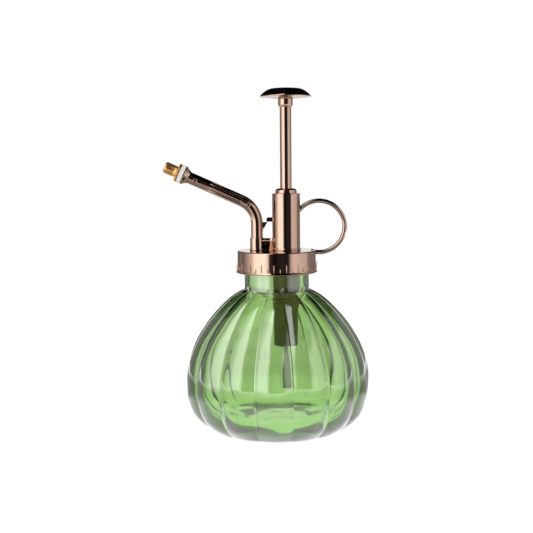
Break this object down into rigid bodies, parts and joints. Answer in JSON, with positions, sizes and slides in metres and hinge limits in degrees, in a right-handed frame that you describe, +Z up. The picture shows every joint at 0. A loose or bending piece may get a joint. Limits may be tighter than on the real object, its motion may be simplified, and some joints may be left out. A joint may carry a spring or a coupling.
{
  "type": "hand mister",
  "caption": "Ribbed green glass plant mister with a copper-plated screw-on plunger pump, bent spout and finger ring.",
  "frame": {"origin": "centre of the bottle's base, on the plane it stands on", "axes": "+Z up along the bottle's axis, -X towards the spout, +X towards the finger ring, +Y to the left of a viewer who faces the finger ring"},
  "size_m": [0.1085, 0.0976, 0.1797],
  "materials": {
    "green_glass": "clear pressed glass, pale green, fire-polished",
    "copper_plate": "moulded plastic, electroplated mirror-bright rose copper",
    "brass": "turned, lightly polished",
    "white_plastic": "moulded, satin",
    "black_rubber": "smooth",
    "steel": "stainless, bright drawn",
    "smoke_plastic": "dark smoke-grey, glossy",
    "grey_plastic": "moulded, satin",
    "milky_plastic": "extruded, milky translucent"
  },
  "bodies": {
    "bottle": {"glass_bottle": "green_glass"},
    "gasket": {"neck_gasket": "black_rubber"},
    "head": {"screw_cap": "copper_plate", "pump_barrel": "copper_plate", "outlet_block": "copper_plate", "spout_tube": "copper_plate", "spout_core_plugs": "copper_plate", "spout_catch": "copper_plate", "spout_gasket": "black_rubber", "outlet_ball_stop": "steel", "finger_ring": "copper_plate", "gland_nut": "copper_plate", "rod_seal": "black_rubber", "piston_stop": "grey_plastic", "cylinder_liner": "grey_plastic", "pump_sleeve": "copper_plate", "lock_nut": "smoke_plastic", "foot_valve": "smoke_plastic", "ball_retainer": "grey_plastic", "dip_tube": "milky_plastic", "spout_flange": "copper_plate", "nozzle_spigot": "grey_plastic", "nozzle_gasket": "black_rubber", "nozzle_washer": "white_plastic", "return_spring": "steel"},
    "plunger": {"knob": "copper_plate", "knob_stud": "steel", "rod_collar": "copper_plate", "piston_rod": "copper_plate", "rod_plug": "grey_plastic", "piston": "grey_plastic", "piston_seal": "black_rubber"},
    "lower_ball": {"inlet_ball": "steel"},
    "upper_ball": {"outlet_ball": "steel"},
    "insert": {"swirl_insert": "grey_plastic"},
    "nozzle": {"nozzle_cap": "brass"}
  },
  "joints": [
    {"name": "head_lift", "type": "slide", "parent": "bottle", "child": "gasket", "axis": [0, 0, 1], "range_m": [0, 0.0047]},
    {"name": "head_turn", "type": "hinge", "parent": "gasket", "child": "head", "pos_m": [0, 0, 0.0876], "axis": [0, 0, 1], "range_deg": [0, 400.1]},
    {"name": "plunger_press", "type": "slide", "parent": "head", "child": "plunger", "axis": [0, 0, -1], "range_m": [0, 0.041], "stiffness_N_per_m": 250, "springref_m": -0.01, "deforming": ["return_spring"]},
    {"name": "inlet_ball_lift", "type": "slide", "parent": "head", "child": "lower_ball", "axis": [0, 0, 1], "range_m": [0, 0.0009]},
    {"name": "outlet_ball_lift", "type": "slide", "parent": "head", "child": "upper_ball", "axis": [0, 0, 1], "range_m": [0, 0.001]},
    {"name": "nozzle_advance", "type": "slide", "parent": "head", "child": "insert", "axis": [-0.9121, 0, 0.4099], "range_m": [0, 0.0006]},
    {"name": "nozzle_turn", "type": "hinge", "parent": "insert", "child": "nozzle", "pos_m": [-0.0466, 0, 0.13401], "axis": [-0.9121, 0, 0.4099], "range_deg": [0, 360.1]}
  ],
  "couplings": [
    {"joint": "head_turn", "follows": "head_lift", "rad_per_m": 1485.4},
    {"joint": "nozzle_turn", "follows": "nozzle_advance", "rad_per_m": 10472}
  ]
}
